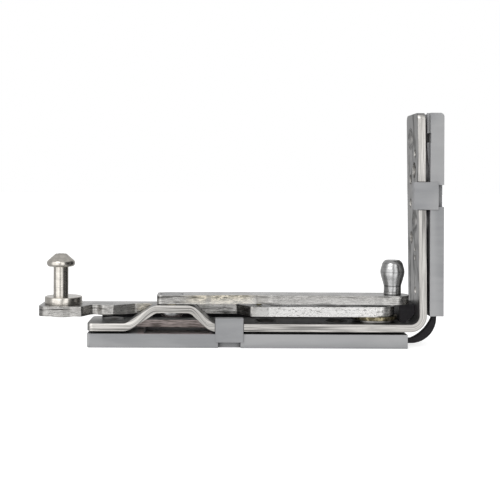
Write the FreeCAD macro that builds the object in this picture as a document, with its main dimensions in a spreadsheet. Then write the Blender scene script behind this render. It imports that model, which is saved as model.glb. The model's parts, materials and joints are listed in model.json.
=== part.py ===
"""Concealed corner hinge, frame side: an L-shaped steel bracket on plastic spacers, with two swing links.

Millimetres. +X runs along the sill towards the corner, +Y into the frame, +Z up.
The origin is on the axis of the long arm's rivet, at the underside of the horizontal spacer.
"""

import FreeCAD, Part
import math
import os
import re

import Sketcher

# Every driving dimension, in millimetres. A name ending in _x, _y or _z is a place; the rest are sizes.
DIMENSIONS = {
    # bent bracket
    "half_width": 11.0,
    "strip": 3.0,
    "seat_z": 6.6,
    "base_left_x": -116.8,
    "leg_x": 16.4,
    "leg_top_z": 94.5,
    "leg_lean": 1.1,
    "bend_radius": 3.5,
    "corner_radius": 2.4,
    # joggled tab, lanced out of the near half of the base
    "tab_edge_y": 0.0,
    "tab_rise": 7.3,
    "tab_left_x": -100.3,
    "tab_left_run": 11.2,
    "tab_right_x": -67.4,
    "tab_right_run": 8.0,
    "tab_margin": 4.3,
    "tab_bend": 3.5,
    # screw holes and pilot holes in the bracket
    "screw_radius": 2.6,
    "countersink": 2.2,
    "sill_screw_x": -44.5,
    "sill_screw_gap": 29.0,
    "end_screw_x": -107.5,
    "end_screw_y": 4.0,
    "jamb_screw_y": 3.5,
    "jamb_upper_z": 84.5,
    "jamb_lower_z": 43.8,
    "jamb_spare_y": -3.0,
    "jamb_spare_z": 50.6,
    # spacers
    "spacer_height": 5.5,
    "spacer_right_x": 11.7,
    "spacer_corner": 1.6,
    "land_inset": 6.0,
    "jamb_face_x": 20.5,
    "jamb_back_x": 26.0,
    "jamb_bottom_z": 13.0,
    "clip_left_x": -65.3,
    "clip_right_x": -54.1,
    "clip_root_z": 2.3,
    "clip_top_z": 11.8,
    "clip_low_z": 55.7,
    "clip_high_z": 66.7,
    "clip_hook_x": 14.0,
    "clip_proud": 0.5,
    "clip_wall": 1.8,
    "clip_hook": 3.6,
    "clip_play": 0.25,
    "notch_inset": 1.1,
    "core_wall": 1.6,
    "core_depth": 3.2,
    "lip_width": 1.0,
    "lip_set_back": 1.6,
    "lip_low_z": 70.0,
    "lip_full_z": 80.0,
    "lip_gap_half": 1.9,
    # strap between the spacers
    "strap_thick": 3.3,
    "strap_thin": 2.0,
    "strap_inset": 0.65,
    "strap_width": 2.8,
    "strap_bend": 10.4,
    "strap_tongue": 4.0,
    # dark rail along the back of the base, and the stop block in the corner
    "rail_left_x": -113.0,
    "rail_right_x": 9.4,
    "rail_near_y": 9.5,
    "rail_inset": 0.3,
    "rail_height": 2.3,
    "stop_left_x": 10.0,
    "stop_near_y": -2.0,
    "stop_top_z": 16.8,
    # long arm, on the rivet at X = 0, Y = 0
    "long_low_z": 12.2,
    "long_thick": 4.0,
    "long_half": 8.2,
    "long_back_y": 0.8,
    "long_eye_x": -127.8,
    "long_eye_half": 10.4,
    "long_eye_right_x": -118.9,
    "long_neck_x": -115.5,
    "long_neck_y": -2.6,
    "long_shoulder_x": -111.0,
    "long_shoulder_y": -5.4,
    "long_step_left_x": -107.0,
    "long_step_left_run": 9.0,
    "long_step_right_x": -51.0,
    "long_step_right_run": 5.5,
    "long_soft": 2.5,
    "long_sharp": 1.6,
    "long_eye_soft": 4.0,
    # short arm, on the tab
    "short_low_z": 17.3,
    "short_thick": 3.5,
    "tab_pivot_x": -83.0,
    "tab_pivot_y": -4.8,
    "short_left_x": -88.9,
    "short_left_near_y": -10.2,
    "short_left_far_y": 2.1,
    "short_end_radius": 6.6,
    "short_corner": 6.5,
    "short_waist_left_x": -73.0,
    "short_waist_left_y": -9.6,
    "short_waist_right_x": -48.5,
    "short_waist_right_y": -7.4,
    "short_shoulder_x": -42.5,
    "short_edge_y": -9.0,
    "short_boss_x": -1.0,
    "short_boss_run": 6.0,
    "short_far_x": -66.0,
    "short_sharp": 2.0,
    "ball_x": 6.9,
    "ball_y": -3.0,
    # pivots
    "play": 0.05,
    "long_shank": 4.0,
    "long_sleeve": 5.0,
    "long_head": 6.6,
    "long_flange": 9.3,
    "flange_thick": 1.5,
    "head_thick": 1.0,
    "short_shank": 3.1,
    "short_sleeve": 4.0,
    "short_head": 4.6,
    "short_flange": 5.3,
    "tab_head": 4.9,
    "tab_head_thick": 2.2,
    "tab_dome_in": 0.55,
    "tab_dome_drop": 1.54,
    # eccentric pin
    "collar_radius": 7.65,
    "collar_thick": 3.0,
    "spigot_radius": 5.0,
    "eccentricity": 1.1,
    "neck_radius": 3.05,
    "neck_length": 12.3,
    "mushroom_radius": 5.8,
    "mushroom_height": 5.15,
    "mushroom_flat": 2.3,
    "mushroom_undercut": 0.7,
    "mushroom_widest": 1.3,
    "mushroom_band": 2.4,
    "mushroom_bevel": 0.4,
    "staked_radius": 6.0,
    "staked_thick": 1.0,
    "socket_flats": 2.5,
    "socket_depth": 3.0,
    # ball pin
    "ball_neck": 3.5,
    "ball_radius": 4.85,
    "ball_height": 14.1,
    "ball_flat": 2.8,
    "ball_step": 3.7,
    "ball_waist": 7.6,
    "ball_widest": 9.7,
    "ball_shoulder": 11.6,
    "ball_crown": 13.0,
    "ball_taper": 0.45,
    # glide button
    "glide_x": -47.5,
    "glide_y": -3.4,
    "glide_radius": 2.0,
    "glide_stem": 1.2,
    "glide_drop": 0.95,
}

# Screw holes in the upright leg, as (name, Y, Z), and the plain holes beside them, as (Y, Z, radius).
JAMB_SCREWS = [
    ("upper", "jamb_screw_y", "jamb_upper_z"),
    ("lower", "jamb_screw_y", "jamb_lower_z"),
    ("spare", "jamb_spare_y", "jamb_spare_z"),
]
PILOT_HOLES = [
    (-4.6, 78.4, 1.7),
    (-3.0, 71.6, 3.3),
    (4.5, 67.8, 2.1),
    (4.5, 58.0, 1.9),
    (-3.0, 39.4, 1.2),
    (-3.0, 35.8, 1.2),
    (-3.0, 22.5, 1.6),
]

VIA = "via"  # marks the middle point of an arc in an outline
NEAR = "-half_width"
FAR = "half_width"
SLOT = ("-strap_width / 2", "strap_width / 2")  # across the strap

doc = FreeCAD.newDocument("corner_hinge")
dims = doc.addObject("Spreadsheet::Sheet", "dims")
for row, (alias, number) in enumerate(DIMENSIONS.items(), start=1):
    dims.set(f"A{row}", alias)
    dims.set(f"B{row}", str(number))
    dims.setAlias(f"B{row}", alias)
doc.recompute()


def bound(text):
    """An expression over the sheet, from plain names such as 'seat_z + strip'."""
    return re.sub(r"[a-z]\w*", lambda m: f"dims.{m[0]}" if m[0] in DIMENSIONS else m[0], str(text))


def value(text):
    return float(dims.evalExpression(bound(text)))


def new_body(node):
    body = doc.addObject("PartDesign::Body", node)
    body.Label = node
    return body


def sketch_on(body, role, name, offset="0", x="0"):
    """A sketch on one of the body's origin planes, moved along the plane's normal and its first axis."""
    sketch = body.newObject("Sketcher::SketchObject", name)
    plane = next(f for f in body.Origin.OriginFeatures if f.Role == role)
    sketch.AttachmentSupport = [(plane, "")]
    sketch.MapMode = "FlatFace"
    sketch.setExpression("AttachmentOffset.Base.x", bound(x))
    sketch.setExpression("AttachmentOffset.Base.z", bound(offset))
    return sketch


def hold(sketch, geometry, position, x, y):
    """Dimension one point of the sketch from its origin."""
    for kind, text in (("DistanceX", x), ("DistanceY", y)):
        number = sketch.addConstraint(Sketcher.Constraint(kind, -1, 1, geometry, position, value(text)))
        sketch.setExpression(f"Constraints[{number}]", bound(text))


def outline(sketch, path):
    """A closed outline through (x, y) corners; an (x, y, VIA) entry is the middle of an arc."""
    corners = [i for i, point in enumerate(path) if VIA not in point]
    ends = []
    for here, there in zip(corners, corners[1:] + corners[:1]):
        start, stop = (FreeCAD.Vector(value(path[i][0]), value(path[i][1]), 0) for i in (here, there))
        middle = (here + 1) % len(path)
        if middle == there:
            ends.append((sketch.addGeometry(Part.LineSegment(start, stop)), 1, 2))
            continue
        via = FreeCAD.Vector(value(path[middle][0]), value(path[middle][1]), 0)
        clockwise = (via - start).cross(stop - start).z < 0
        arc = Part.Arc(stop, via, start) if clockwise else Part.Arc(start, via, stop)
        ends.append((sketch.addGeometry(arc), *((2, 1) if clockwise else (1, 2))))
        mark = sketch.addGeometry(Part.Point(via), True)
        sketch.addConstraint(Sketcher.Constraint("PointOnObject", mark, 1, ends[-1][0]))
        hold(sketch, mark, 1, path[middle][0], path[middle][1])
    for (edge, first, last), (following, entry, _), corner in zip(ends, ends[1:] + ends[:1], corners):
        sketch.addConstraint(Sketcher.Constraint("Coincident", edge, last, following, entry))
        hold(sketch, edge, first, path[corner][0], path[corner][1])


def pad(body, sketch, length):
    feature = body.newObject("PartDesign::Pad", f"{sketch.Name}_pad")
    feature.Profile = sketch
    feature.setExpression("Length", bound(length))
    doc.recompute()
    return feature


def plate_outline(body, name, y_low, y_high, path):
    """Pad an outline drawn in X and Z from y_low to y_high."""
    sketch = sketch_on(body, "XZ_Plane", name, f"-({y_high})")
    outline(sketch, path)
    return pad(body, sketch, f"({y_high}) - ({y_low})")


def flat_outline(body, name, z_low, thick, path):
    """Pad an outline drawn in X and Y upwards from z_low."""
    sketch = sketch_on(body, "XY_Plane", name, z_low)
    outline(sketch, path)
    return pad(body, sketch, thick)


def turned(body, name, x, y, path):
    """Revolve an outline drawn as (radius, Z) about the upright axis through x, y."""
    sketch = sketch_on(body, "XZ_Plane", name, f"-({y})", x)
    outline(sketch, path)
    feature = body.newObject("PartDesign::Revolution", f"{name}_turn")
    feature.Profile = sketch
    feature.ReferenceAxis = (sketch, ["V_Axis"])
    feature.Angle = 360
    doc.recompute()
    return feature


def primitive(body, kind, name, place, **sizes):
    feature = body.newObject(f"PartDesign::{kind}", name)
    for size, text in sizes.items():
        feature.setExpression(size, bound(text))
    for axis, text in zip("xyz", place):
        feature.setExpression(f"Placement.Base.{axis}", bound(text))
    doc.recompute()
    return feature


def block(body, name, x, y, z, cut=False):
    """A box between pairs of places, added to the body or cut from it."""
    sizes = zip(("Length", "Width", "Height"), (x, y, z))
    spans = {size: f"({high}) - ({low})" for size, (low, high) in sizes}
    kind = "SubtractiveBox" if cut else "AdditiveBox"
    return primitive(body, kind, name, (x[0], y[0], z[0]), **spans)


def bore(body, name, x, y, z_low, depth, radius):
    return primitive(body, "SubtractiveCylinder", name, (x, y, z_low), Radius=radius, Height=depth)


def side_bore(body, name, x, y, z, depth, radius):
    """A round hole along +X from x."""
    feature = primitive(body, "SubtractiveCylinder", name, (x, y, z), Radius=radius, Height=depth)
    feature.Placement.Rotation = FreeCAD.Rotation(FreeCAD.Vector(0, 1, 0), 90)
    doc.recompute()
    return feature


def dress(body, kind, size, wanted):
    """Fillet or chamfer the edges of the body's shape whose middle is one of the wanted places.

    A place is (x, y, z) in expressions, and None leaves that coordinate free.
    """
    base = body.Tip
    places = [[None if text is None else value(text) for text in place] for place in wanted]
    names = []
    for number, edge in enumerate(base.Shape.Edges, start=1):
        box = edge.BoundBox
        spans = (box.XLength, box.YLength, box.ZLength)
        for place in places:
            fixed = [axis for axis in range(3) if place[axis] is not None]
            if None in place and any(spans[axis] > 0.01 for axis in fixed):
                continue
            if all(abs(box.Center[axis] - place[axis]) < 0.02 for axis in fixed):
                names.append(f"Edge{number}")
                break
    if len(names) < len(places):
        raise ValueError(f"{body.Label}: {kind} finds {len(names)} edges for {len(places)} places")
    feature = body.newObject(f"PartDesign::{kind}", f"{body.Name}_{kind.lower()}_{len(body.Group)}")
    feature.Base = (base, names)
    feature.setExpression("Radius" if kind == "Fillet" else "Size", bound(size))
    doc.recompute()
    return feature


def round_corners(body, radius, corners):
    """Fillet the upright edges of a flat plate at (x, y) corners."""
    dress(body, "Fillet", radius, [(*corner, None) for corner in corners])


# Places worked out from the driving dimensions.
BASE_TOP = "seat_z + strip"
TAB_LOW = "seat_z + tab_rise"
TAB_TOP = "seat_z + tab_rise + strip"
TAB_PLATEAU_LEFT = "tab_left_x + tab_left_run"
TAB_PLATEAU_RIGHT = "tab_right_x - tab_right_run"
LEFT_SHIFT = "strip * tan(atan(tab_rise / tab_left_run) / 2)"
RIGHT_SHIFT = "strip * tan(atan(tab_rise / tab_right_run) / 2)"
LONG_TOP = "long_low_z + long_thick"
SHORT_TOP = "short_low_z + short_thick"
SILL_SCREWS = [
    ("sill_screw_x", "0"),
    ("sill_screw_x + sill_screw_gap", "0"),
    ("end_screw_x", "end_screw_y"),
]


def leg_face(z):
    """X of the upright leg's inner face at height z: the leg leans in by leg_lean at its top."""
    return f"leg_x - leg_lean * (({z}) - seat_z - strip) / (leg_top_z - seat_z - strip)"


def corner_bracket():
    """Strip bent to an L. The near half of its base is lanced and joggled up into a tab."""
    body = new_body("corner_bracket")
    window_left = "tab_left_x - tab_margin"
    window_right = "tab_right_x + tab_margin"
    low_bends = ["tab_left_x", "tab_right_x"]
    high_bends = [TAB_PLATEAU_LEFT, TAB_PLATEAU_RIGHT]
    shifts = [f"-({LEFT_SHIFT})", RIGHT_SHIFT]
    low_top = [f"{x} + {shift}" for x, shift in zip(low_bends, shifts)]
    high_top = [f"{x} + {shift}" for x, shift in zip(high_bends, shifts)]
    plate_outline(body, "tab", NEAR, "tab_edge_y", [
        (window_left, "seat_z"),
        (low_bends[0], "seat_z"),
        (high_bends[0], TAB_LOW),
        (high_bends[1], TAB_LOW),
        (low_bends[1], "seat_z"),
        (window_right, "seat_z"),
        (window_right, BASE_TOP),
        (low_top[1], BASE_TOP),
        (high_top[1], TAB_TOP),
        (high_top[0], TAB_TOP),
        (low_top[0], BASE_TOP),
        (window_left, BASE_TOP),
    ])
    inside = [(x, None, BASE_TOP) for x in low_top] + [(x, None, TAB_LOW) for x in high_bends]
    outside = [(x, None, "seat_z") for x in low_bends] + [(x, None, TAB_TOP) for x in high_top]
    dress(body, "Fillet", "tab_bend", inside)
    dress(body, "Fillet", "tab_bend + strip", outside)

    for name, left, y_low, y_high in (
        ("far_half", "base_left_x", "tab_edge_y", FAR),
        ("near_half", window_right, NEAR, "tab_edge_y"),
    ):
        plate_outline(body, name, y_low, y_high, [
            (left, "seat_z"),
            ("leg_x + strip", "seat_z"),
            ("leg_x + strip - leg_lean", "leg_top_z"),
            ("leg_x - leg_lean", "leg_top_z"),
            ("leg_x", BASE_TOP),
            (left, BASE_TOP),
        ])
    block(body, "near_left", ("base_left_x", window_left), (NEAR, "tab_edge_y"), ("seat_z", BASE_TOP))
    dress(body, "Fillet", "bend_radius", [("leg_x", None, BASE_TOP)])
    dress(body, "Fillet", "bend_radius + strip", [("leg_x + strip", None, "seat_z")])
    dress(body, "Fillet", "corner_radius", [("base_left_x", y, None) for y in (NEAR, FAR)])
    leg_end = "leg_x - leg_lean + strip / 2"
    dress(body, "Fillet", "corner_radius", [(leg_end, y, "leg_top_z") for y in (NEAR, FAR)])

    # notches that let the spacers' clips lie nearly flush with the edge
    notch_y = (f"{NEAR} - 1", f"{NEAR} + clip_wall - clip_proud + clip_play")
    block(body, "sill_clip_notch", ("clip_left_x - clip_play", "clip_right_x + clip_play"), notch_y,
          ("seat_z - 1", "clip_top_z"), cut=True)
    block(body, "jamb_clip_notch", ("clip_hook_x", "jamb_face_x"), notch_y,
          ("clip_low_z - clip_play", "clip_high_z + clip_play"), cut=True)

    bore(body, "tab_rivet_hole", "tab_pivot_x", "tab_pivot_y",
         "seat_z", "tab_rise + 2 * strip", "short_shank")
    bore(body, "long_rivet_hole", "0", "0", "0", "seat_z + 2 * strip", "long_shank")
    dress(body, "Chamfer", "head_thick", [("0", "0", "seat_z")])

    for number, (x, y) in enumerate(SILL_SCREWS, start=1):
        bore(body, f"sill_screw_hole_{number}", x, y, "0", "seat_z + 2 * strip", "screw_radius")
        dress(body, "Chamfer", "countersink", [(x, y, BASE_TOP)])
    for name, y, z in JAMB_SCREWS:
        side_bore(body, f"jamb_{name}_hole", "clip_hook_x", y, z, "3 * strip", "screw_radius")
        if name != "lower":
            dress(body, "Chamfer", "countersink", [(leg_face(z), y, z)])
    for number, (y, z, radius) in enumerate(PILOT_HOLES, start=1):
        side_bore(body, f"pilot_hole_{number}", "clip_hook_x", y, z, "3 * strip", radius)


def horizontal_spacer():
    body = new_body("horizontal_spacer")
    low, high = "0", "spacer_height"
    block(body, "plate", ("base_left_x", "spacer_right_x"), (NEAR, FAR), (low, high))
    dress(body, "Fillet", "spacer_corner", [("base_left_x", y, None) for y in (NEAR, FAR)])
    # raised lands that carry the steel, set back from the edges
    land_y = (f"{NEAR} + land_inset", f"{FAR} - land_inset / 3")
    for name, left, right in (
        ("left_land", "base_left_x + spacer_corner", "tab_left_x - spacer_corner"),
        ("right_land", "tab_right_x + spacer_corner", "spacer_right_x - spacer_corner"),
    ):
        block(body, name, (left, right), land_y, (high, "seat_z"))
    clip_y = (f"{NEAR} - clip_proud", f"{NEAR} - clip_proud + clip_wall")
    clip_x = ("clip_left_x", "clip_right_x")
    block(body, "clip_wall", clip_x, clip_y, ("clip_root_z", "clip_top_z"))
    block(body, "clip_foot", clip_x, (clip_y[0], f"{NEAR} + land_inset"), ("clip_root_z", high))
    block(body, "clip_hook", clip_x, (clip_y[0], f"{NEAR} + clip_hook"),
          (f"{BASE_TOP} + clip_play", "clip_top_z"))
    block(body, "clip_notch", ("clip_left_x + notch_inset", "clip_right_x - notch_inset"),
          (f"{NEAR} - 1", f"{NEAR} + core_wall"), (low, "clip_root_z"), cut=True)
    # relief under the tab, for the rivet head
    relief_y = (f"{NEAR} + core_wall", f"{FAR} - core_wall")
    block(body, "tab_relief", ("tab_left_x + 2 * strip", "tab_right_x"), relief_y,
          (f"{high} - core_wall", f"{high} + 1"), cut=True)
    # moulding cores in the underside, between solid bosses for the screws and the rivet
    stations = ["end_screw_x", "tab_pivot_x", "sill_screw_x", "sill_screw_x + sill_screw_gap"]
    depths = ["core_depth / 2", "core_depth", "core_depth"]
    core_y = (f"{NEAR} + 2 * core_wall", f"{FAR} - 2 * core_wall")
    for number, (left, right, depth) in enumerate(zip(stations, stations[1:], depths), start=1):
        core_x = (f"{left} + 4 * core_wall", f"{right} - 4 * core_wall")
        block(body, f"core_{number}", core_x, core_y, ("-1", depth), cut=True)
    for number, (x, y) in enumerate(SILL_SCREWS, start=1):
        bore(body, f"screw_hole_{number}", x, y, "-1", "seat_z + 2", "screw_radius")
    block(body, "strap_socket", ("spacer_right_x - strap_tongue", "spacer_right_x + 1"),
          SLOT, ("-1", "strap_inset + strap_thin"), cut=True)


def vertical_spacer():
    body = new_body("vertical_spacer")
    block(body, "plate", ("jamb_face_x", "jamb_back_x"), (NEAR, FAR), ("jamb_bottom_z", "leg_top_z"))
    dress(body, "Fillet", "spacer_corner", [("jamb_back_x", None, "leg_top_z")])
    block(body, "land", ("leg_x + strip", "jamb_face_x"),
          (f"{NEAR} + land_inset", f"{FAR} - land_inset / 3"),
          ("jamb_bottom_z + spacer_corner", "jamb_bottom_z + 4 * strip"))
    # thin lip above the clip, set back from the near edge, tapering out downwards and broken by a small gap
    plate_outline(body, "lip", f"{NEAR} + lip_set_back", f"{NEAR} + lip_set_back + lip_width", [
        ("jamb_face_x", "lip_low_z"),
        ("jamb_face_x", "leg_top_z"),
        ("jamb_face_x - lip_width", "leg_top_z"),
        ("jamb_face_x - lip_width", "lip_full_z"),
    ])
    gap_x = ("jamb_face_x - strip", "jamb_face_x + lip_width / 4")
    block(body, "lip_gap", gap_x, (f"{NEAR} - 1", f"{NEAR} + 2 * strip"),
          ("jamb_upper_z - lip_gap_half", "jamb_upper_z + lip_gap_half"), cut=True)
    clip_y = (f"{NEAR} - clip_proud", f"{NEAR} - clip_proud + clip_wall")
    clip_z = ("clip_low_z", "clip_high_z")
    clip_root = "jamb_back_x - clip_root_z"
    block(body, "clip_wall", ("clip_hook_x", clip_root), clip_y, clip_z)
    block(body, "clip_foot", ("jamb_face_x", clip_root), (clip_y[0], f"{NEAR} + land_inset"), clip_z)
    block(body, "clip_hook", ("clip_hook_x", f"{leg_face('clip_high_z')} - clip_play"),
          (clip_y[0], f"{NEAR} + clip_hook"), clip_z)
    block(body, "clip_notch", (clip_root, "jamb_back_x + 1"), (f"{NEAR} - 1", f"{NEAR} + 2 * core_wall"),
          ("clip_low_z + notch_inset", "clip_high_z - notch_inset"), cut=True)
    core_y = (f"{NEAR} + 2 * core_wall", f"{FAR} - 2 * core_wall")
    for number, (low, high) in enumerate((
        ("jamb_bottom_z + 4 * core_wall", "jamb_lower_z - 4 * core_wall"),
        ("clip_high_z + core_wall", "jamb_upper_z - 4 * core_wall"),
    ), start=1):
        core_x = ("jamb_back_x - core_depth", "jamb_back_x + 1")
        block(body, f"core_{number}", core_x, core_y, (low, high), cut=True)
    for name, y, z in JAMB_SCREWS:
        side_bore(body, f"{name}_screw_hole", "leg_x", y, z, "4 * strip", "screw_radius")
    block(body, "strap_socket", ("jamb_back_x - strap_inset - strap_thin", "jamb_back_x + 1"),
          SLOT, ("jamb_bottom_z - 1", "jamb_bottom_z + strap_tongue"), cut=True)


def corner_strap():
    """Quarter-round strap, thickest in the middle, with its ends in slots in the backs of both spacers."""
    body = new_body("corner_strap")
    diagonal = math.sqrt(0.5)
    outer_x, outer_z = "(jamb_back_x - strap_inset)", "strap_inset"
    inner_x, inner_z = f"({outer_x} - strap_thin)", f"({outer_z} + strap_thin)"
    centre_x, centre_z = f"{outer_x} - strap_bend", f"{outer_z} + strap_bend"
    left_x, top_z = "spacer_right_x - strap_tongue", "jamb_bottom_z + strap_tongue"
    inner = "(strap_bend - strap_thick)"
    plate_outline(body, "strap", *SLOT, [
        (left_x, outer_z),
        (centre_x, outer_z),
        (f"{centre_x} + strap_bend * {diagonal}", f"{centre_z} - strap_bend * {diagonal}", VIA),
        (outer_x, centre_z),
        (outer_x, top_z),
        (inner_x, top_z),
        (inner_x, centre_z),
        (f"{centre_x} + {inner} * {diagonal}", f"{centre_z} - {inner} * {diagonal}", VIA),
        (centre_x, inner_z),
        (left_x, inner_z),
    ])


def back_rail():
    """Black rail along the back edge of the base, under the far edge of the long arm."""
    body = new_body("back_rail")
    block(body, "rail", ("rail_left_x", "rail_right_x"), ("rail_near_y", f"{FAR} - rail_inset"),
          (BASE_TOP, f"{BASE_TOP} + rail_height"))


def corner_stop():
    """Black block in the inner corner, beside the round end of the long arm."""
    body = new_body("corner_stop")
    plate_outline(body, "stop", "stop_near_y", f"{FAR} - rail_inset", [
        ("stop_left_x", BASE_TOP),
        ("leg_x - bend_radius", BASE_TOP),
        ("leg_x - play", f"{BASE_TOP} + bend_radius"),
        (leg_face("stop_top_z"), "stop_top_z"),
        ("stop_left_x", "stop_top_z"),
    ])


def long_arm():
    """Lower link, with a square eye. Its near edge runs back to pass behind the tab."""
    body = new_body("long_arm")
    neck = ("long_neck_x", "long_neck_y")
    shoulder = ("long_shoulder_x", "long_shoulder_y")
    step_in = ("long_step_left_x", "long_shoulder_y")
    back_left = ("long_step_left_x + long_step_left_run", "long_back_y")
    back_right = ("long_step_right_x - long_step_right_run", "long_back_y")
    step_out = ("long_step_right_x", "-long_half")
    end = [("long_half", "-long_half"), ("long_half", "long_half")]
    left_x = "2 * long_eye_x - long_eye_right_x"
    eye = [(left_x, "-long_eye_half"), ("long_eye_right_x", "-long_eye_half")]
    path = [*eye, neck, shoulder, step_in, back_left, back_right, step_out, *end]
    flat_outline(body, "bar", "long_low_z", "long_thick", [*path, (left_x, "long_half")])
    round_corners(body, "long_half - play", end)
    round_corners(body, "long_sharp", [eye[1], step_out])
    round_corners(body, "long_soft", [neck, shoulder, step_in, back_left, back_right])
    round_corners(body, "long_eye_soft", [eye[0], (left_x, "long_half")])
    bore(body, "sleeve_bore", "0", "0", "long_low_z - 1", "long_thick + 2", "long_sleeve")
    bore(body, "head_recess", "0", "0",
         f"{LONG_TOP} - head_thick - 2 * play", "strip", "long_head + 4 * play")
    bore(body, "eccentric_bore", "long_eye_x", "0",
         "long_low_z - 1", "long_thick + 2", "spigot_radius + play")


def short_arm():
    """Upper link, riveted to the tab."""
    body = new_body("short_arm")
    far_y, near_y = "ball_y + short_end_radius", "ball_y - short_end_radius"
    waist_left = ("short_waist_left_x", "short_waist_left_y")
    waist_right = ("short_waist_right_x", "short_waist_right_y")
    shoulder = ("short_shoulder_x", "short_edge_y")
    boss_left = ("short_boss_x - short_boss_run / 2", "short_edge_y")
    boss_right = ("short_boss_x + short_boss_run / 2", near_y)
    far_left = ("short_far_x", far_y)
    end = [("ball_x + short_end_radius", y) for y in (near_y, far_y)]
    left = [("short_left_x", "short_left_far_y"), ("short_left_x", "short_left_near_y")]
    path = [*left, waist_left, waist_right, shoulder, boss_left, boss_right, *end, far_left]
    flat_outline(body, "bar", "short_low_z", "short_thick", path)
    round_corners(body, "short_corner", end)
    round_corners(body, "short_sharp", [waist_right, shoulder, *left])
    bore(body, "sleeve_bore", "tab_pivot_x", "tab_pivot_y",
         "short_low_z - 1", "short_thick + 2", "short_sleeve")
    bore(body, "head_recess", "tab_pivot_x", "tab_pivot_y",
         f"{SHORT_TOP} - head_thick - 2 * play", "strip", "short_head + 4 * play")
    bore(body, "ball_pin_bore", "ball_x", "ball_y",
         "short_low_z - 1", "short_thick + 2", "ball_neck - head_thick")
    bore(body, "glide_bore", "glide_x", "glide_y", "short_low_z - 1", "strip", "glide_stem")


def long_arm_pivot():
    """Rivet, washer and flanged bush that carry the long arm."""
    body = new_body("long_arm_rivet")
    head_low = f"{LONG_TOP} - head_thick"
    turned(body, "rivet", "0", "0", [
        ("0", "seat_z"),
        ("long_shank + head_thick", "seat_z"),
        ("long_shank", "seat_z + head_thick"),
        ("long_shank", head_low),
        ("long_head", head_low),
        ("long_head", f"{LONG_TOP} - head_thick / 3"),
        ("long_head - head_thick / 3", LONG_TOP),
        ("0", LONG_TOP),
    ])
    body = new_body("long_arm_washer")
    turned(body, "washer", "0", "0", [
        ("long_shank", BASE_TOP),
        ("long_flange - head_thick", BASE_TOP),
        ("long_flange - head_thick", "long_low_z - flange_thick - play"),
        ("long_shank", "long_low_z - flange_thick - play"),
    ])
    body = new_body("long_arm_bush")
    turned(body, "bush", "0", "0", [
        ("long_shank + play", "long_low_z - flange_thick"),
        ("long_flange", "long_low_z - flange_thick"),
        ("long_flange", "long_low_z"),
        ("long_sleeve", "long_low_z"),
        ("long_sleeve", f"{head_low} - 3 * play"),
        ("long_shank + play", f"{head_low} - 3 * play"),
    ])


def short_arm_pivot():
    """Rivet and thin flanged bush that carry the short arm on the tab."""
    body = new_body("short_arm_rivet")
    head_low = f"{SHORT_TOP} - head_thick"
    turned(body, "rivet", "tab_pivot_x", "tab_pivot_y", [
        ("0", f"{TAB_LOW} - tab_head_thick"),
        ("tab_head - tab_head_thick", f"{TAB_LOW} - tab_head_thick"),
        ("tab_head - tab_dome_in", f"{TAB_LOW} - tab_dome_drop", VIA),
        ("tab_head", TAB_LOW),
        ("short_shank", TAB_LOW),
        ("short_shank", head_low),
        ("short_head", head_low),
        ("short_head", f"{SHORT_TOP} - head_thick / 3"),
        ("short_head - head_thick / 3", SHORT_TOP),
        ("0", SHORT_TOP),
    ])
    body = new_body("short_arm_bush")
    turned(body, "bush", "tab_pivot_x", "tab_pivot_y", [
        ("short_shank + play", f"{TAB_TOP} + play"),
        ("short_flange", f"{TAB_TOP} + play"),
        ("short_flange", "short_low_z"),
        ("short_sleeve", "short_low_z"),
        ("short_sleeve", f"{head_low} - 3 * play"),
        ("short_shank + play", f"{head_low} - 3 * play"),
    ])


def eccentric():
    """Adjusting pin: its neck stands off-centre on a collar that turns in the long arm's eye."""
    body = new_body("eccentric_pin")
    collar_low = f"{LONG_TOP} + play"
    collar_top = f"{LONG_TOP} + play + collar_thick"
    turned(body, "collar", "long_eye_x", "0", [
        ("0", "long_low_z - staked_thick"),
        ("spigot_radius", "long_low_z - staked_thick"),
        ("spigot_radius", collar_low),
        ("collar_radius", collar_low),
        ("collar_radius", collar_top),
        ("0", collar_top),
    ])
    dress(body, "Chamfer", "head_thick / 4", [("long_eye_x", "0", collar_top)])
    head_low = f"{collar_top} + neck_length"
    head_top = f"{head_low} + mushroom_height"
    turned(body, "mushroom", "long_eye_x - eccentricity", "0", [
        ("0", collar_top),
        ("neck_radius", collar_top),
        ("neck_radius", head_low),
        ("mushroom_radius - mushroom_undercut", head_low),
        ("mushroom_radius", f"{head_low} + mushroom_widest", VIA),
        ("mushroom_radius - mushroom_bevel", f"{head_low} + mushroom_band"),
        ("mushroom_flat + mushroom_bevel", f"{head_top} - mushroom_bevel"),
        ("mushroom_flat", head_top),
        ("0", head_top),
    ])
    socket = sketch_on(body, "XY_Plane", "socket", head_top)
    across = "socket_flats / sqrt(3)"
    corners = [(math.cos(math.radians(60 * k)), math.sin(math.radians(60 * k))) for k in range(6)]
    outline(socket, [
        (f"long_eye_x - eccentricity + {across} * {x:.6f}", f"{across} * {y:.6f}") for x, y in corners
    ])
    pocket = body.newObject("PartDesign::Pocket", "socket_pocket")
    pocket.Profile = socket
    pocket.setExpression("Length", bound("socket_depth"))
    doc.recompute()

    body = new_body("eccentric_washer")
    turned(body, "washer", "long_eye_x", "0", [
        ("spigot_radius", "long_low_z - staked_thick"),
        ("staked_radius - head_thick / 3", "long_low_z - staked_thick"),
        ("staked_radius", "long_low_z - staked_thick * 2 / 3"),
        ("staked_radius", "long_low_z - play"),
        ("spigot_radius", "long_low_z - play"),
    ])


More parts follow.
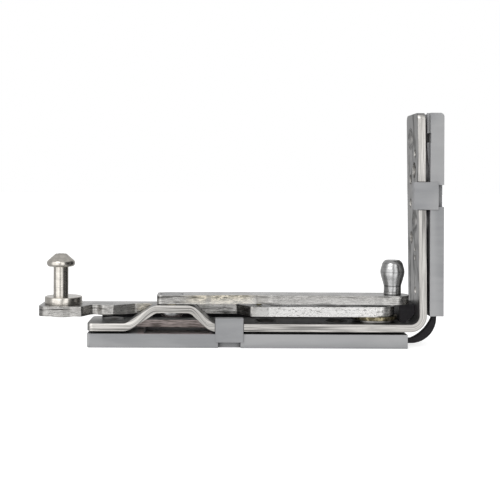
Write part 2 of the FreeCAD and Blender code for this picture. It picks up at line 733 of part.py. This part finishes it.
def ball_pin():
    body = new_body("ball_pin")
    turned(body, "pin", "ball_x", "ball_y", [
        ("0", "short_low_z"),
        ("ball_neck - head_thick", "short_low_z"),
        ("ball_neck - head_thick", SHORT_TOP),
        ("ball_neck", SHORT_TOP),
        ("ball_neck", f"{SHORT_TOP} + ball_step"),
        ("ball_radius - ball_taper / 2", f"{SHORT_TOP} + ball_waist"),
        ("ball_radius", f"{SHORT_TOP} + ball_widest", VIA),
        ("ball_radius - ball_taper", f"{SHORT_TOP} + ball_shoulder"),
        ("ball_radius - 2 * ball_taper", f"{SHORT_TOP} + ball_crown", VIA),
        ("ball_flat", f"{SHORT_TOP} + ball_height"),
        ("0", f"{SHORT_TOP} + ball_height"),
    ])


def glide_button():
    """Small polymer button pressed into the short arm, which keeps the two arms apart."""
    body = new_body("glide_button")
    turned(body, "button", "glide_x", "glide_y", [
        ("0", "short_low_z - glide_drop"),
        ("glide_radius / 2", "short_low_z - glide_drop"),
        ("glide_radius", "short_low_z"),
        ("glide_stem", "short_low_z"),
        ("glide_stem", "short_low_z + strip - 1"),
        ("0", "short_low_z + strip - 1"),
    ])


for make in (
    corner_bracket,
    horizontal_spacer,
    vertical_spacer,
    corner_strap,
    back_rail,
    corner_stop,
    long_arm,
    short_arm,
    long_arm_pivot,
    short_arm_pivot,
    eccentric,
    ball_pin,
    glide_button,
):
    make()
doc.recompute()

failed = [f"{o.Label} {o.State}" for o in doc.Objects if {"Invalid", "Error"} & set(o.State)]
if failed:
    raise RuntimeError("failed objects: " + ", ".join(failed))
os.makedirs("parts", exist_ok=True)
for body in (o for o in doc.Objects if o.TypeId == "PartDesign::Body"):
    shape = body.Shape
    if shape.isNull() or not shape.isValid() or len(shape.Solids) != 1:
        raise RuntimeError(f"{body.Label} is not one valid solid")
    shape.exportStep(f"parts/{body.Label}.step")
    box = shape.BoundBox
    print(f"{body.Label:18s} {shape.Volume:9.1f} mm3  X {box.XMin:.1f}..{box.XMax:.1f}"
          f"  Y {box.YMin:.1f}..{box.YMax:.1f}  Z {box.ZMin:.1f}..{box.ZMax:.1f}")
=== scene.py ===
import bpy
import json
import math

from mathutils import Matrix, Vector


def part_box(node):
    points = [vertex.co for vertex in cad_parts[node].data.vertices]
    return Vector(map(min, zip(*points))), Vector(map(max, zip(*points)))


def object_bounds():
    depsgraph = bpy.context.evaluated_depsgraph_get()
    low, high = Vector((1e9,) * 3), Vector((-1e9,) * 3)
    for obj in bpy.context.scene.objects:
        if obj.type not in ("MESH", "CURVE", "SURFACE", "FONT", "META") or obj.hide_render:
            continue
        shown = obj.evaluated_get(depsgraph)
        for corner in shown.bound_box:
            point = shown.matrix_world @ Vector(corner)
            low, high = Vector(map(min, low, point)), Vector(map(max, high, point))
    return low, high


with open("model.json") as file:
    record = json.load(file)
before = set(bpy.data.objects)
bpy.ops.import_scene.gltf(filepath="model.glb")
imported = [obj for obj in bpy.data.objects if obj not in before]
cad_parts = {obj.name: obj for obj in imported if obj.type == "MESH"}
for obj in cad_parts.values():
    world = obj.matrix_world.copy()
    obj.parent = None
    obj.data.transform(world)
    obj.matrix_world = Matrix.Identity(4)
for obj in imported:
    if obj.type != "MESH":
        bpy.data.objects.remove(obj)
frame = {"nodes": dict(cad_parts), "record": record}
cad_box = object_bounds()
MM = 0.001


# ---------------------------------------------------------------- node helpers
class Shader:
    """A node material, built with short calls. Coordinates are the object's own, in millimetres."""

    def __init__(self, name):
        to_millimetres = (1 / MM, 1 / MM, 1 / MM)
        self.material = bpy.data.materials.new(name)
        self.material.use_nodes = True
        self.tree = self.material.node_tree
        self.surface = self.tree.nodes["Principled BSDF"]
        self.coordinates = self.node("ShaderNodeTexCoord")
        self.place = self.scaled(to_millimetres)

    def node(self, kind, **settings):
        made = self.tree.nodes.new(kind)
        for key, setting in settings.items():
            setattr(made, key, setting)
        return made

    def link(self, source, target):
        self.tree.links.new(source, target)

    def feed(self, socket, value):
        """Join a socket to another node's output, or set it to a plain value."""
        if isinstance(value, bpy.types.NodeSocket):
            self.link(value, socket)
        else:
            socket.default_value = value

    def scaled(self, scale, source=None):
        mapping = self.node("ShaderNodeMapping")
        mapping.inputs["Scale"].default_value = scale
        self.link(source or self.coordinates.outputs["Object"], mapping.inputs["Vector"])
        return mapping.outputs["Vector"]

    def noise(self, scale, stretch=(1, 1, 1), detail=4.0, rough=0.55, distortion=0.0):
        """Noise with features about 1 / scale millimetres across. A small stretch draws them out."""
        made = self.node("ShaderNodeTexNoise")
        self.link(self.scaled(stretch, self.place), made.inputs["Vector"])
        made.inputs["Scale"].default_value = scale
        made.inputs["Detail"].default_value = detail
        made.inputs["Roughness"].default_value = rough
        made.inputs["Distortion"].default_value = distortion
        return made.outputs["Fac"]

    def math(self, operation, first, second=0.0):
        made = self.node("ShaderNodeMath", operation=operation)
        self.feed(made.inputs[0], first)
        self.feed(made.inputs[1], second)
        return made.outputs[0]

    def remap(self, value, low, high, to_low=0.0, to_high=1.0):
        made = self.node("ShaderNodeMapRange", interpolation_type="SMOOTHSTEP")
        for socket, number in zip(made.inputs[:5], (value, low, high, to_low, to_high)):
            self.feed(socket, number)
        return made.outputs["Result"]

    def mix(self, factor, first, second):
        made = self.node("ShaderNodeMix", data_type="RGBA")
        self.feed(made.inputs["Factor"], factor)
        self.feed(made.inputs["A"], first)
        self.feed(made.inputs["B"], second)
        return made.outputs["Result"]

    def ramp(self, value, stops):
        made = self.node("ShaderNodeValToRGB")
        self.link(value, made.inputs["Fac"])
        elements = made.color_ramp.elements
        while len(elements) < len(stops):
            elements.new(0.5)
        for element, (position, colour) in zip(elements, stops):
            element.position = position
            element.color = colour
        return made.outputs["Color"]

    def axis(self, name, source="Object"):
        """One coordinate in millimetres, or one component of the object's own normal."""
        split = self.node("ShaderNodeSeparateXYZ")
        position = self.place if source == "Object" else self.coordinates.outputs[source]
        self.link(position, split.inputs["Vector"])
        return split.outputs[name]

    def facing(self, name, low=0.6, high=0.9):
        """1 where the surface faces along an axis, either way."""
        return self.remap(self.math("ABSOLUTE", self.axis(name, "Normal")), low, high)

    def towards(self, name, sign, low=0.6, high=0.9):
        """1 where the surface faces one way along an axis."""
        return self.remap(self.math("MULTIPLY", self.axis(name, "Normal"), sign), low, high)

    def together(self, *factors):
        """The product of several masks."""
        product = factors[0]
        for factor in factors[1:]:
            product = self.math("MULTIPLY", product, factor)
        return product

    def between(self, value, low, high, soft):
        """1 between two values, fading out over a soft margin."""
        rise = self.remap(value, low - soft, low + soft)
        return self.math("MULTIPLY", rise, self.remap(value, high - soft, high + soft, 1.0, 0.0))

    def edges(self, low=0.52, high=0.60):
        """1 on convex edges, where a part is rubbed."""
        return self.remap(self.node("ShaderNodeNewGeometry").outputs["Pointiness"], low, high)

    def crevice_shade(self, colour, reach, strength=1.0, shade=0.01):
        """Darken a colour in crevices up to the given millimetres wide: painted shade where nearby surfaces
        close in.
        """
        made = self.node("ShaderNodeAmbientOcclusion", samples=8)
        made.inputs["Distance"].default_value = reach * MM
        return self.mix(self.remap(made.outputs["AO"], 0.12, 0.70, strength, 0.0), colour, grey(shade))

    def vector(self, x, y, z):
        made = self.node("ShaderNodeCombineXYZ")
        for socket, value in zip(made.inputs, (x, y, z)):
            self.feed(socket, value)
        return made.outputs["Vector"]

    def bump(self, height, depth, strength=1.0):
        """Relief of the given depth in millimetres, on top of any relief given before."""
        previous = self.surface.inputs["Normal"].links
        made = self.node("ShaderNodeBump")
        made.inputs["Distance"].default_value = depth * MM
        made.inputs["Strength"].default_value = strength
        self.feed(made.inputs["Height"], height)
        if previous:
            self.link(previous[0].from_socket, made.inputs["Normal"])
        self.link(made.outputs["Normal"], self.surface.inputs["Normal"])

    def finish(self, **values):
        for name, value in values.items():
            self.feed(self.surface.inputs[name.replace("_", " ")], value)
        return self.material


def grey(level, warm=0.0):
    return (level * (1 + warm), level, level * (1 - 1.6 * warm), 1.0)


# ---------------------------------------------------------------- materials
# Places on the object, in millimetres, that its wear, stains, streak lines and painted shade follow.
BEND_X, BEND_Z = 12.9, 13.1  # centre of the bracket's bend
TAB_LEFT, TAB_LEFT_RUN = -100.3, 11.2
TAB_RIGHT, TAB_RIGHT_RUN = -67.4, 8.0
TAB_RISE = 7.3
TAB_REAR_Y = -2.0  # just in front of the lanced edge behind the tab
LANCED_TOP = 20.0
UNDER_TAB = (-97.0, -67.0)
SPACER_TOP = 7.0


def zinc_steel():
    """Zinc-plated strip: drawing lines that follow the bend and the tab, their light and dark partly painted
    highlights, dark rub marks, smudges on the upright leg, painted shade in crevices, and a rust-brown edge
    where the tab was lanced out that is partly rust and partly painted shade.
    """
    s = Shader("zinc_steel")
    x, y, z = s.axis("X"), s.axis("Y"), s.axis("Z")
    up = s.remap(x, TAB_LEFT, TAB_LEFT + TAB_LEFT_RUN, 0.0, TAB_RISE)
    down = s.remap(x, TAB_RIGHT - TAB_RIGHT_RUN, TAB_RIGHT, 0.0, TAB_RISE)
    rise = s.together(s.math("SUBTRACT", up, down), s.math("LESS_THAN", y, -1.0))
    beyond = s.math("MAXIMUM", s.math("SUBTRACT", x, BEND_X), 0.0)
    below = s.math("MAXIMUM", s.math("ADD", s.math("SUBTRACT", BEND_Z, z), rise), 0.0)
    across = s.math("SQRT", s.math("ADD", s.math("POWER", beyond, 2.0), s.math("POWER", below, 2.0)))
    along = s.math("SUBTRACT", s.math("MINIMUM", x, BEND_X), s.math("MAXIMUM", z, BEND_Z))

    def strip_noise(scale, across_scale, along_scale, wide_scale, detail):
        made = s.node("ShaderNodeTexNoise")
        s.link(s.vector(
            s.math("MULTIPLY", across, across_scale),
            s.math("MULTIPLY", along, along_scale),
            s.math("MULTIPLY", y, wide_scale),
        ), made.inputs["Vector"])
        made.inputs["Scale"].default_value = scale
        made.inputs["Detail"].default_value = detail
        return made.outputs["Fac"]

    cloud = s.noise(0.10, detail=3)
    rolled = strip_noise(1.0, 0.2, 0.05, 1.6, 5)
    marks = strip_noise(1.0, 0.1, 0.16, 1.1, 3)
    lines = strip_noise(1.0, 1.3, 0.02, 0.3, 4)
    nicks = s.noise(1.5, detail=6, rough=0.7)
    face = s.mix(s.remap(cloud, 0.35, 0.65), grey(0.27), grey(0.38, 0.01))
    face = s.mix(s.remap(rolled, 0.38, 0.64, 0.0, 0.7), face, grey(0.50, 0.01))
    face = s.mix(s.remap(marks, 0.58, 0.72, 0.0, 0.8), face, grey(0.12))
    smudges = s.noise(0.35, (1.0, 1.0, 0.3), detail=4)
    smudged = s.together(s.towards("X", -1.0), s.remap(smudges, 0.50, 0.62, 0.0, 0.51))
    face = s.mix(s.math("MULTIPLY", smudged, 0.93), face, grey(0.012, 0.05))
    # Light and dark lengthwise lines on the cut edges: partly shear lines, partly painted highlights.
    cut = s.ramp(lines, [
        (0.35, grey(0.22, 0.03)), (0.42, grey(0.56, 0.03)), (0.48, grey(0.74, 0.03)),
        (0.53, grey(0.36, 0.03)), (0.58, grey(0.64, 0.03)), (0.66, grey(0.90, 0.03)),
    ])
    cut = s.mix(s.remap(nicks, 0.60, 0.70, 0.0, 0.6), cut, grey(0.24, 0.03))
    # Rust-brown colour on the lanced edge behind the tab: partly bare-steel rust, partly painted shade under
    # the tab.
    behind_tab = s.math("GREATER_THAN", y, TAB_REAR_Y)
    bare = s.together(behind_tab, s.math("LESS_THAN", z, LANCED_TOP), s.towards("Y", -1.0))
    threads = strip_noise(1.0, 3.2, 0.2, 0.5, 6)
    brown_stain_and_shade = s.mix(s.remap(threads, 0.38, 0.60), (0.17, 0.145, 0.135, 1), (0.52, 0.45, 0.43, 1))
    colour = s.mix(s.facing("Y"), face, cut)
    # Painted shade in crevices, on the strip and on the lanced edge.
    colour = s.mix(bare, s.crevice_shade(colour, 2.2, 0.9), s.crevice_shade(brown_stain_and_shade, 1.2, 0.8))
    rough = s.remap(rolled, 0.3, 0.7, 0.28, 0.42)
    s.bump(lines, 0.08, 0.7)
    s.bump(marks, 0.05, 0.5)
    s.bump(s.noise(5.0, detail=3), 0.006, 0.5)
    rough = s.math("ADD", rough, s.math("MULTIPLY", smudged, 0.25))
    return s.finish(Base_Color=colour, Metallic=1.0, Roughness=rough)


def arm_steel(name, chipped_from, yellow_and_reflection_span):
    """Zinc-plated stamping. Its sheared edges are stretched out in long dark and light streaks, partly shear
    marks and partly painted reflections, and chipped bright right of chipped_from. Along the given span they
    are passivated yellow, in wavy arches whose brightest parts are painted reflections.
    """
    s = Shader(name)
    x = s.axis("X")
    side = s.math("SUBTRACT", 1.0, s.facing("Z"))
    streaks = s.noise(1.0, (0.07, 0.07, 1.3), detail=5, rough=0.6)
    waves = s.noise(0.9, (0.18, 0.18, 1.0), detail=4, distortion=0.9)
    blocks = s.noise(0.20, (1.0, 1.0, 0.1), detail=2)
    chips = s.noise(1.5, (0.55, 0.55, 1.0), detail=7, rough=0.7)
    faces = s.noise(0.30, (0.25, 1.0, 1.0), detail=5)
    chipped = s.remap(x, chipped_from - 1.5, chipped_from + 1.5)
    face = s.mix(s.remap(faces, 0.35, 0.65), grey(0.38, 0.005), grey(0.56, 0.01))
    face = s.mix(s.remap(s.noise(1.3, (0.2, 1.0, 1.0), detail=5), 0.60, 0.72, 0.0, 0.5), face, grey(0.14))
    # Dark and light streaks on the sheared edges: partly shear marks, partly painted reflections.
    edge_streaks_and_reflections = s.ramp(streaks, [
        (0.36, grey(0.05, 0.03)), (0.42, grey(0.26, 0.03)), (0.48, grey(0.62, 0.02)),
        (0.53, grey(0.24, 0.03)), (0.58, grey(0.66, 0.02)), (0.68, grey(0.22, 0.03)),
    ])
    # Yellow passivation in wavy arches; the near-white arches are painted reflections.
    yellow_and_reflections = s.ramp(waves, [
        (0.36, (0.03, 0.028, 0.02, 1)), (0.43, (0.24, 0.22, 0.17, 1)), (0.49, (0.42, 0.39, 0.32, 1)),
        (0.54, (0.95, 0.87, 0.72, 1)), (0.58, (0.16, 0.15, 0.11, 1)), (0.70, (0.60, 0.57, 0.49, 1)),
    ])
    edge_streaks_and_reflections = s.mix(s.between(x, *yellow_and_reflection_span, 5.0), edge_streaks_and_reflections, yellow_and_reflections)
    bright = s.mix(s.remap(chips, 0.46, 0.38), grey(0.86, 0.01), grey(0.16, 0.03))
    bright = s.mix(s.remap(streaks, 0.50, 0.64, 0.0, 0.55), bright, grey(0.50, 0.02))
    cut = s.mix(chipped, edge_streaks_and_reflections, bright)
    cut = s.mix(s.remap(blocks, 0.56, 0.66, 0.0, 0.5), cut, grey(0.26, 0.03))
    relief = s.math("ADD", s.math("MULTIPLY", chips, 0.5), s.math("ADD", streaks, waves))
    s.bump(relief, 0.16, 0.7)
    s.bump(s.noise(5.0, detail=4), 0.008, 0.6)
    colour = s.mix(side, face, cut)
    colour = s.mix(s.math("MULTIPLY", s.edges(), 0.4), colour, grey(0.80, 0.01))
    rough = s.remap(waves, 0.35, 0.65, 0.20, 0.36)
    # Painted shade in crevices where the arms close on their neighbours.
    return s.finish(Base_Color=s.crevice_shade(colour, 1.6, 0.85), Metallic=1.0, Roughness=rough)


def turned_metal(name, light, dark, warm, rough, dark_rings=()):
    """Lathe-turned and polished metal with fine rings round its upright axis and faint stains.

    Darker rings of colour are given as (from Z, to Z, amount).
    """
    s = Shader(name)
    rings = s.noise(4.0, (0.02, 0.02, 1.0), detail=5, rough=0.75)
    stain = s.noise(0.5, detail=5)
    scuffs = s.noise(2.2, (0.4, 0.4, 1.0), detail=6, rough=0.7)
    colour = s.mix(s.remap(stain, 0.30, 0.70), grey(dark, warm), grey(light, warm))
    colour = s.mix(s.remap(rings, 0.40, 0.66, 0.0, 0.35), colour, grey(dark * 0.75, warm))
    colour = s.mix(s.remap(scuffs, 0.66, 0.74, 0.0, 0.5), colour, grey(dark * 0.5, warm))
    for low, high, amount in dark_rings:
        ring = s.math("MULTIPLY", s.between(s.axis("Z"), low, high, 0.15), amount)
        colour = s.mix(ring, colour, grey(0.10, warm))
    s.bump(rings, 0.025, 0.8)
    # Painted shade in crevices where the turned part meets its neighbours.
    colour = s.crevice_shade(colour, 1.0, 0.85)
    polish = s.remap(scuffs, 0.3, 0.7, rough, rough + 0.10)
    return s.finish(Base_Color=colour, Metallic=1.0, Roughness=polish)


def brass_bush():
    """Greased bronze-coloured bush, dull, with brighter rubbed patches."""
    s = Shader("brass_bush")
    stain = s.noise(0.6, detail=5)
    colour = s.mix(s.remap(stain, 0.42, 0.66), (0.10, 0.085, 0.05, 1), (0.42, 0.37, 0.24, 1))
    # Painted shade in crevices where the bush meets the arms and the base.
    colour = s.crevice_shade(colour, 1.2, 0.8)
    s.bump(s.noise(3.0, (0.03, 0.03, 1.0)), 0.01, 0.5)
    return s.finish(Base_Color=colour, Metallic=1.0, Roughness=s.remap(stain, 0.3, 0.7, 0.42, 0.26))


def grey_plastic():
    """Matte moulded polymer: grain, flow marks, rubbed edges, painted shade in the gaps, and brown streaks
    under the tab that are partly stain and partly painted shade.
    """
    s = Shader("grey_plastic")
    flow = s.noise(0.12, (0.3, 1, 1.6), detail=3, distortion=0.6)
    grain = s.noise(7.0, detail=3)
    fine = s.noise(2.4, detail=6, rough=0.7)
    colour = s.mix(s.remap(flow, 0.35, 0.65), (0.300, 0.304, 0.314, 1), (0.350, 0.353, 0.362, 1))
    colour = s.mix(s.remap(fine, 0.58, 0.74, 0.0, 0.30), colour, grey(0.45))
    colour = s.mix(s.remap(fine, 0.42, 0.28, 0.0, 0.25), colour, grey(0.22))
    colour = s.mix(s.math("MULTIPLY", s.edges(), 0.45), colour, grey(0.50))
    # Painted shade in the gaps, nearly black where the plastic meets the steel.
    colour = s.crevice_shade(colour, 2.6, 0.96)
    # Brown streaks on the top face under the tab: partly stain, partly painted shade of the slot.
    under_tab = s.together(
        s.between(s.axis("X"), *UNDER_TAB, 1.0), s.towards("Z", 1.0),
        s.math("LESS_THAN", s.axis("Z"), SPACER_TOP),
    )
    threads = s.noise(2.2, (0.12, 1.0, 1.0), detail=6, rough=0.7)
    brown_stain_and_shade = s.mix(s.remap(threads, 0.42, 0.56), (0.22, 0.19, 0.19, 1), (0.62, 0.53, 0.52, 1))
    colour = s.mix(under_tab, colour, s.crevice_shade(brown_stain_and_shade, 0.6, 0.5))
    s.bump(grain, 0.02, 0.6)
    s.bump(flow, 0.03, 0.3)
    rough = s.remap(grain, 0.3, 0.7, 0.46, 0.62)
    return s.finish(Base_Color=colour, Roughness=rough, Specular_IOR_Level=0.35)


def black_rubber():
    s = Shader("black_rubber")
    grain = s.noise(4.0, detail=6, rough=0.65)
    wipe = s.noise(0.5, (0.4, 1, 1), detail=4)
    colour = s.mix(s.remap(grain, 0.35, 0.7), (0.010, 0.009, 0.011, 1), (0.028, 0.025, 0.030, 1))
    colour = s.mix(s.remap(wipe, 0.6, 0.75, 0.0, 0.4), colour, (0.06, 0.055, 0.06, 1))
    s.bump(grain, 0.05, 0.6)
    return s.finish(Base_Color=colour, Roughness=s.remap(wipe, 0.3, 0.7, 0.5, 0.68), Specular_IOR_Level=0.3)


def amber_polymer():
    s = Shader("amber_polymer")
    cloud = s.noise(1.2, detail=4)
    colour = s.mix(s.remap(cloud, 0.35, 0.65), (0.42, 0.37, 0.20, 1), (0.62, 0.57, 0.36, 1))
    s.bump(s.noise(6.0), 0.01, 0.4)
    return s.finish(Base_Color=colour, Roughness=s.remap(cloud, 0.3, 0.7, 0.25, 0.4))


# Where the arms' edges are chipped, and yellow with painted reflections, and the darker rings on the ball
# pin.
CHIPPED_FROM = -49.0
NOT_CHIPPED = 30.0
LONG_ARM_YELLOW_AND_REFLECTIONS = (-97.0, -92.0)
SHORT_ARM_YELLOW_AND_REFLECTIONS = (-76.0, -50.0)
BALL_PIN_DARK_RINGS = [
    (20.8, 21.2, 0.8), (21.9, 22.3, 0.5), (24.1, 24.8, 0.7), (29.9, 30.2, 0.4), (33.6, 33.9, 0.4),
]
FINISHES = {
    "zinc_steel": zinc_steel(),
    "arm_steel": arm_steel("arm_steel", NOT_CHIPPED, SHORT_ARM_YELLOW_AND_REFLECTIONS),
    "pin_steel": turned_metal("pin_steel", 0.66, 0.46, 0.0, 0.14),
    "nickel_pin": turned_metal("nickel_pin", 0.80, 0.62, 0.05, 0.12),
    "yellow_bush": brass_bush(),
    "grey_plastic": grey_plastic(),
    "black_rubber": black_rubber(),
    "amber_polymer": amber_polymer(),
}
OWN_FINISH = {
    "long_arm": arm_steel("long_arm_steel", CHIPPED_FROM, LONG_ARM_YELLOW_AND_REFLECTIONS),
    "short_arm_rivet": turned_metal("rivet_steel", 0.42, 0.22, 0.0, 0.20),
    "ball_pin": turned_metal("ball_pin_steel", 0.66, 0.46, 0.0, 0.14, BALL_PIN_DARK_RINGS),
}


# ---------------------------------------------------------------- carried-over CAD nodes
# Width of the rounded edges in millimetres.
EDGE_ROUNDING = {
    "corner_bracket": 0.30,
    "horizontal_spacer": 0.25,
    "vertical_spacer": 0.25,
    "corner_strap": 0.35,
}
FINE_ROUNDING = 0.12
WELD_DISTANCE = 1e-6
SHARP_ANGLE = 35


def dress(node, finish):
    """Give a CAD node its finish and slightly rounded edges."""
    piece = frame["nodes"][node]
    piece.data.materials.clear()
    piece.data.materials.append(OWN_FINISH.get(node, FINISHES[finish]))
    weld = piece.modifiers.new("weld", "WELD")
    weld.merge_threshold = WELD_DISTANCE
    bevel = piece.modifiers.new("soft_edges", "BEVEL")
    bevel.width = EDGE_ROUNDING.get(node, FINE_ROUNDING) * MM
    bevel.segments = 3
    bevel.limit_method = "ANGLE"
    bevel.angle_limit = math.radians(SHARP_ANGLE)
    bevel.harden_normals = True


for row in frame["record"]["subparts"]:
    dress(row["node"], row["material_slot"])


# ---------------------------------------------------------------- floor, light and camera
def floor():
    """Plain pale floor just under the object, bright enough to be read as white."""
    low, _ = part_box("horizontal_spacer")
    half = 6.0
    gap = 0.2 * MM
    mesh = bpy.data.meshes.new("floor")
    corners = [(-half, -half), (half, -half), (half, half), (-half, half)]
    mesh.from_pydata([(x, y, low[2] - gap) for x, y in corners], [], [(0, 1, 2, 3)])
    plane = bpy.data.objects.new("floor", mesh)
    plane.visible_glossy = False
    plane.visible_diffuse = False
    bpy.context.scene.collection.objects.link(plane)
    s = Shader("floor")
    mesh.materials.append(s.finish(
        Base_Color=(0.8, 0.8, 0.8, 1), Roughness=0.9, Specular_IOR_Level=0.1,
        Emission_Color=(1, 1, 1, 1), Emission_Strength=0.75,
    ))


# Brightness of the studio round the object at eye level. The angle is in degrees, 0 towards the camera,
# positive to the right: two white screens with a gap between them, black cloth to the right and grey behind.
SCREENS = [
    (-180, 0.70), (-140, 0.45), (-100, 0.40), (-75, 0.50), (-62, 1.30), (-12, 1.45), (-8, 0.60), (8, 0.60),
    (12, 1.45), (32, 1.30), (42, 0.20), (60, 0.05), (120, 0.03), (150, 0.40), (180, 0.70),
]
OVERHEAD = 0.5
BELOW = 0.5


def studio():
    """White background for the camera, and the screens for everything that is lit by them."""
    world = bpy.data.worlds.new("studio")
    world.use_nodes = True
    tree = world.node_tree
    background = tree.nodes["Background"]

    def add(kind, **settings):
        made = tree.nodes.new(kind)
        for key, setting in settings.items():
            setattr(made, key, setting)
        return made

    def join(source, target):
        tree.links.new(source, target)

    split = add("ShaderNodeSeparateXYZ")
    join(add("ShaderNodeTexCoord").outputs["Generated"], split.inputs[0])
    forward = add("ShaderNodeMath", operation="MULTIPLY")
    join(split.outputs["Y"], forward.inputs[0])
    forward.inputs[1].default_value = -1.0
    angle = add("ShaderNodeMath", operation="ARCTAN2")
    join(split.outputs["X"], angle.inputs[0])
    join(forward.outputs[0], angle.inputs[1])
    turn = add("ShaderNodeMapRange")
    join(angle.outputs[0], turn.inputs["Value"])
    turn.inputs["From Min"].default_value = -math.pi
    turn.inputs["From Max"].default_value = math.pi
    ring = add("ShaderNodeValToRGB")
    join(turn.outputs["Result"], ring.inputs["Fac"])
    ring.color_ramp.interpolation = "LINEAR"
    elements = ring.color_ramp.elements
    while len(elements) < len(SCREENS):
        elements.new(0.5)
    for element, (degrees, level) in zip(elements, SCREENS):
        element.position = degrees / 360 + 0.5
        element.color = (level, level, level, 1)
    height = split.outputs["Z"]

    def faded(start, level, low, high):
        """Fade from start to a plain level as the direction's height goes from low to high."""
        fade = add("ShaderNodeMapRange", interpolation_type="SMOOTHSTEP")
        join(height, fade.inputs["Value"])
        fade.inputs["From Min"].default_value = low
        fade.inputs["From Max"].default_value = high
        blend = add("ShaderNodeMix", data_type="RGBA")
        join(fade.outputs["Result"], blend.inputs["Factor"])
        join(start, blend.inputs["A"])
        blend.inputs["B"].default_value = (level, level, level, 1)
        return blend.outputs["Result"]

    seen = faded(ring.outputs["Color"], OVERHEAD, 0.45, 0.85)
    seen = faded(seen, BELOW, -0.35, -0.8)
    to_camera = add("ShaderNodeMix", data_type="RGBA")
    join(add("ShaderNodeLightPath").outputs["Is Camera Ray"], to_camera.inputs["Factor"])
    join(seen, to_camera.inputs["A"])
    to_camera.inputs["B"].default_value = (1, 1, 1, 1)
    join(to_camera.outputs["Result"], background.inputs["Color"])
    bpy.context.scene.world = world


def soft_box(name, place, target, size, power):
    light = bpy.data.lights.new(name, "AREA")
    light.shape = "RECTANGLE"
    light.size, light.size_y = size
    light.energy = power
    lamp = bpy.data.objects.new(name, light)
    lamp.location = place
    lamp.rotation_euler = (Vector(target) - Vector(place)).to_track_quat("-Z", "Y").to_euler()
    bpy.context.scene.collection.objects.link(lamp)


def lights():
    low, high = cad_box
    centre = Vector(low).lerp(Vector(high), 0.5)
    soft_box("key", centre + Vector((-0.25, -0.45, 0.45)), centre, (0.35, 0.35), 1.2)


def camera():
    """Level camera in front of the object, looking along +Y, its view shifted down and a little right."""
    lens = bpy.data.cameras.new("camera")
    lens.sensor_width = 36.0
    lens.lens = 68.4
    lens.shift_x = 0.070
    lens.shift_y = -0.132
    eye = bpy.data.objects.new("camera", lens)
    eye.location = (-65.7 * MM, -391.0 * MM, 65.6 * MM)
    eye.rotation_euler = (math.radians(90), math.radians(-0.25), 0)
    bpy.context.scene.collection.objects.link(eye)
    bpy.context.scene.camera = eye


floor()
studio()
lights()
camera()
bpy.context.scene.view_settings.view_transform = "Standard"
